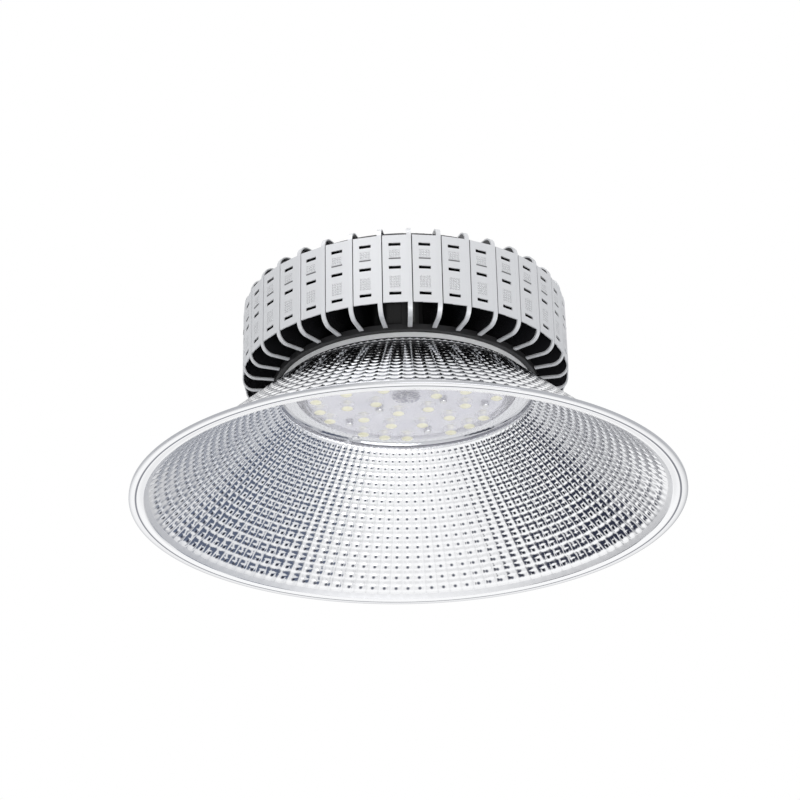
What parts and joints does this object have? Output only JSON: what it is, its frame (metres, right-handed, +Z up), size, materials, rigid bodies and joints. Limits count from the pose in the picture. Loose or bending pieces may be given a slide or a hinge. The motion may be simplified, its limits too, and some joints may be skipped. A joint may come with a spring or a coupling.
{
  "type": "high bay light",
  "caption": "Pendant high bay luminaire: ring of folded sheet fins round a driver can, lensed lamp engine, faceted bell reflector with a rim flange, closed eyebolt and cable gland.",
  "frame": {"origin": "centre of the plane that the bell's rim stands on", "axes": "+Z up along the light's axis, +Y along the hole of the eyebolt"},
  "size_m": [0.45, 0.45, 0.2372],
  "materials": {
    "fin_sheet": "satin silver outer face, dark inner blade",
    "black_plate": "satin black",
    "lid_plate": "satin dark grey powder coat",
    "black_can": "gloss black anodised",
    "driver_case": "plain potted case",
    "thermal_sheet": "matt soft sheet",
    "board_white": "white solder mask on metal",
    "led_phosphor": "pale yellow phosphor",
    "clear_lens": "clear moulded",
    "silicone": "matt",
    "polished_aluminium": "bright, pressed into small cells",
    "plated_steel": "zinc plated",
    "gland_nylon": "black moulded nylon",
    "gland_rubber": "matt",
    "screw_steel": "plated"
  },
  "bodies": {
    "root": {"fin_01": "fin_sheet", "fin_02": "fin_sheet", "fin_03": "fin_sheet", "fin_04": "fin_sheet", "fin_05": "fin_sheet", "fin_06": "fin_sheet", "fin_07": "fin_sheet", "fin_08": "fin_sheet", "fin_09": "fin_sheet", "fin_10": "fin_sheet", "fin_11": "fin_sheet", "fin_12": "fin_sheet", "fin_13": "fin_sheet", "fin_14": "fin_sheet", "fin_15": "fin_sheet", "fin_16": "fin_sheet", "fin_17": "fin_sheet", "fin_18": "fin_sheet", "fin_19": "fin_sheet", "fin_20": "fin_sheet", "fin_21": "fin_sheet", "fin_22": "fin_sheet", "fin_23": "fin_sheet", "fin_24": "fin_sheet", "fin_25": "fin_sheet", "fin_26": "fin_sheet", "fin_27": "fin_sheet", "fin_28": "fin_sheet", "fin_29": "fin_sheet", "fin_30": "fin_sheet", "fin_31": "fin_sheet", "fin_32": "fin_sheet", "fin_33": "fin_sheet", "fin_34": "fin_sheet", "fin_35": "fin_sheet", "fin_36": "fin_sheet", "base_plate": "black_plate", "top_plate": "lid_plate", "driver_can": "black_can", "driver_case": "driver_case", "thermal_sheet": "thermal_sheet", "led_board": "board_white", "leds": "led_phosphor", "lens_plate": "clear_lens", "lens_gasket": "silicone", "reflector": "polished_aluminium", "eyebolt": "plated_steel", "eye_nut": "plated_steel", "eye_lock_nut": "plated_steel", "eye_washer": "plated_steel", "gland_body": "gland_nylon", "gland_cap": "gland_nylon", "gland_seal": "gland_rubber", "gland_nut": "gland_nylon", "lens_screws": "screw_steel", "bell_screws": "screw_steel", "can_screws": "screw_steel", "top_screws": "screw_steel"}
  },
  "joints": []
}
